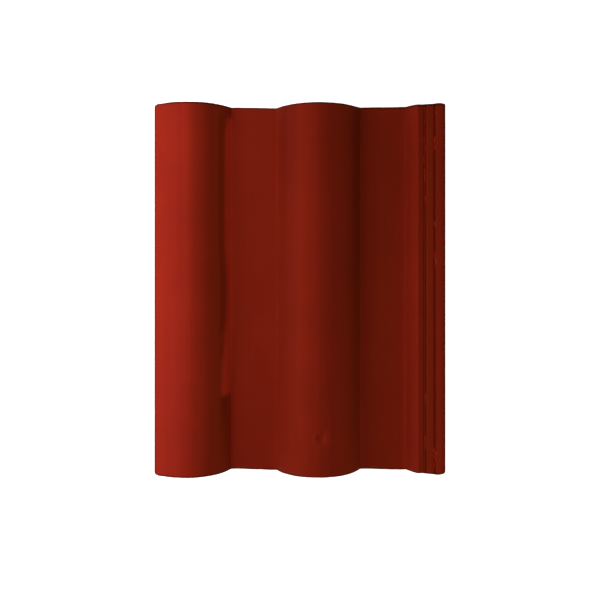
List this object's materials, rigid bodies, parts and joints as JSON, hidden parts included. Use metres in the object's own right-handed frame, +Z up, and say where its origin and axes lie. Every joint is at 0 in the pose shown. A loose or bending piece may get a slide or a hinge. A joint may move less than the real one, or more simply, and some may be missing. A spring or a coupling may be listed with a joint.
{
  "type": "roof tile",
  "caption": "Double roman roof tile of coated concrete: round rolls between flat pans, a lapping lip on one side and ribbed water channels on the other.",
  "frame": {"origin": "middle of the tile's outline, on the floor that the nibs and the weather bars rest on", "axes": "+Z up through the rolls, +Y along the tile from the head with the nibs to the foot, +X across from the lip to the water channels"},
  "size_m": [0.33, 0.42, 0.056],
  "materials": {
    "coated_concrete": "satin red coating on moulded concrete"
  },
  "bodies": {
    "root": {"roof_tile": "coated_concrete"}
  },
  "joints": []
}
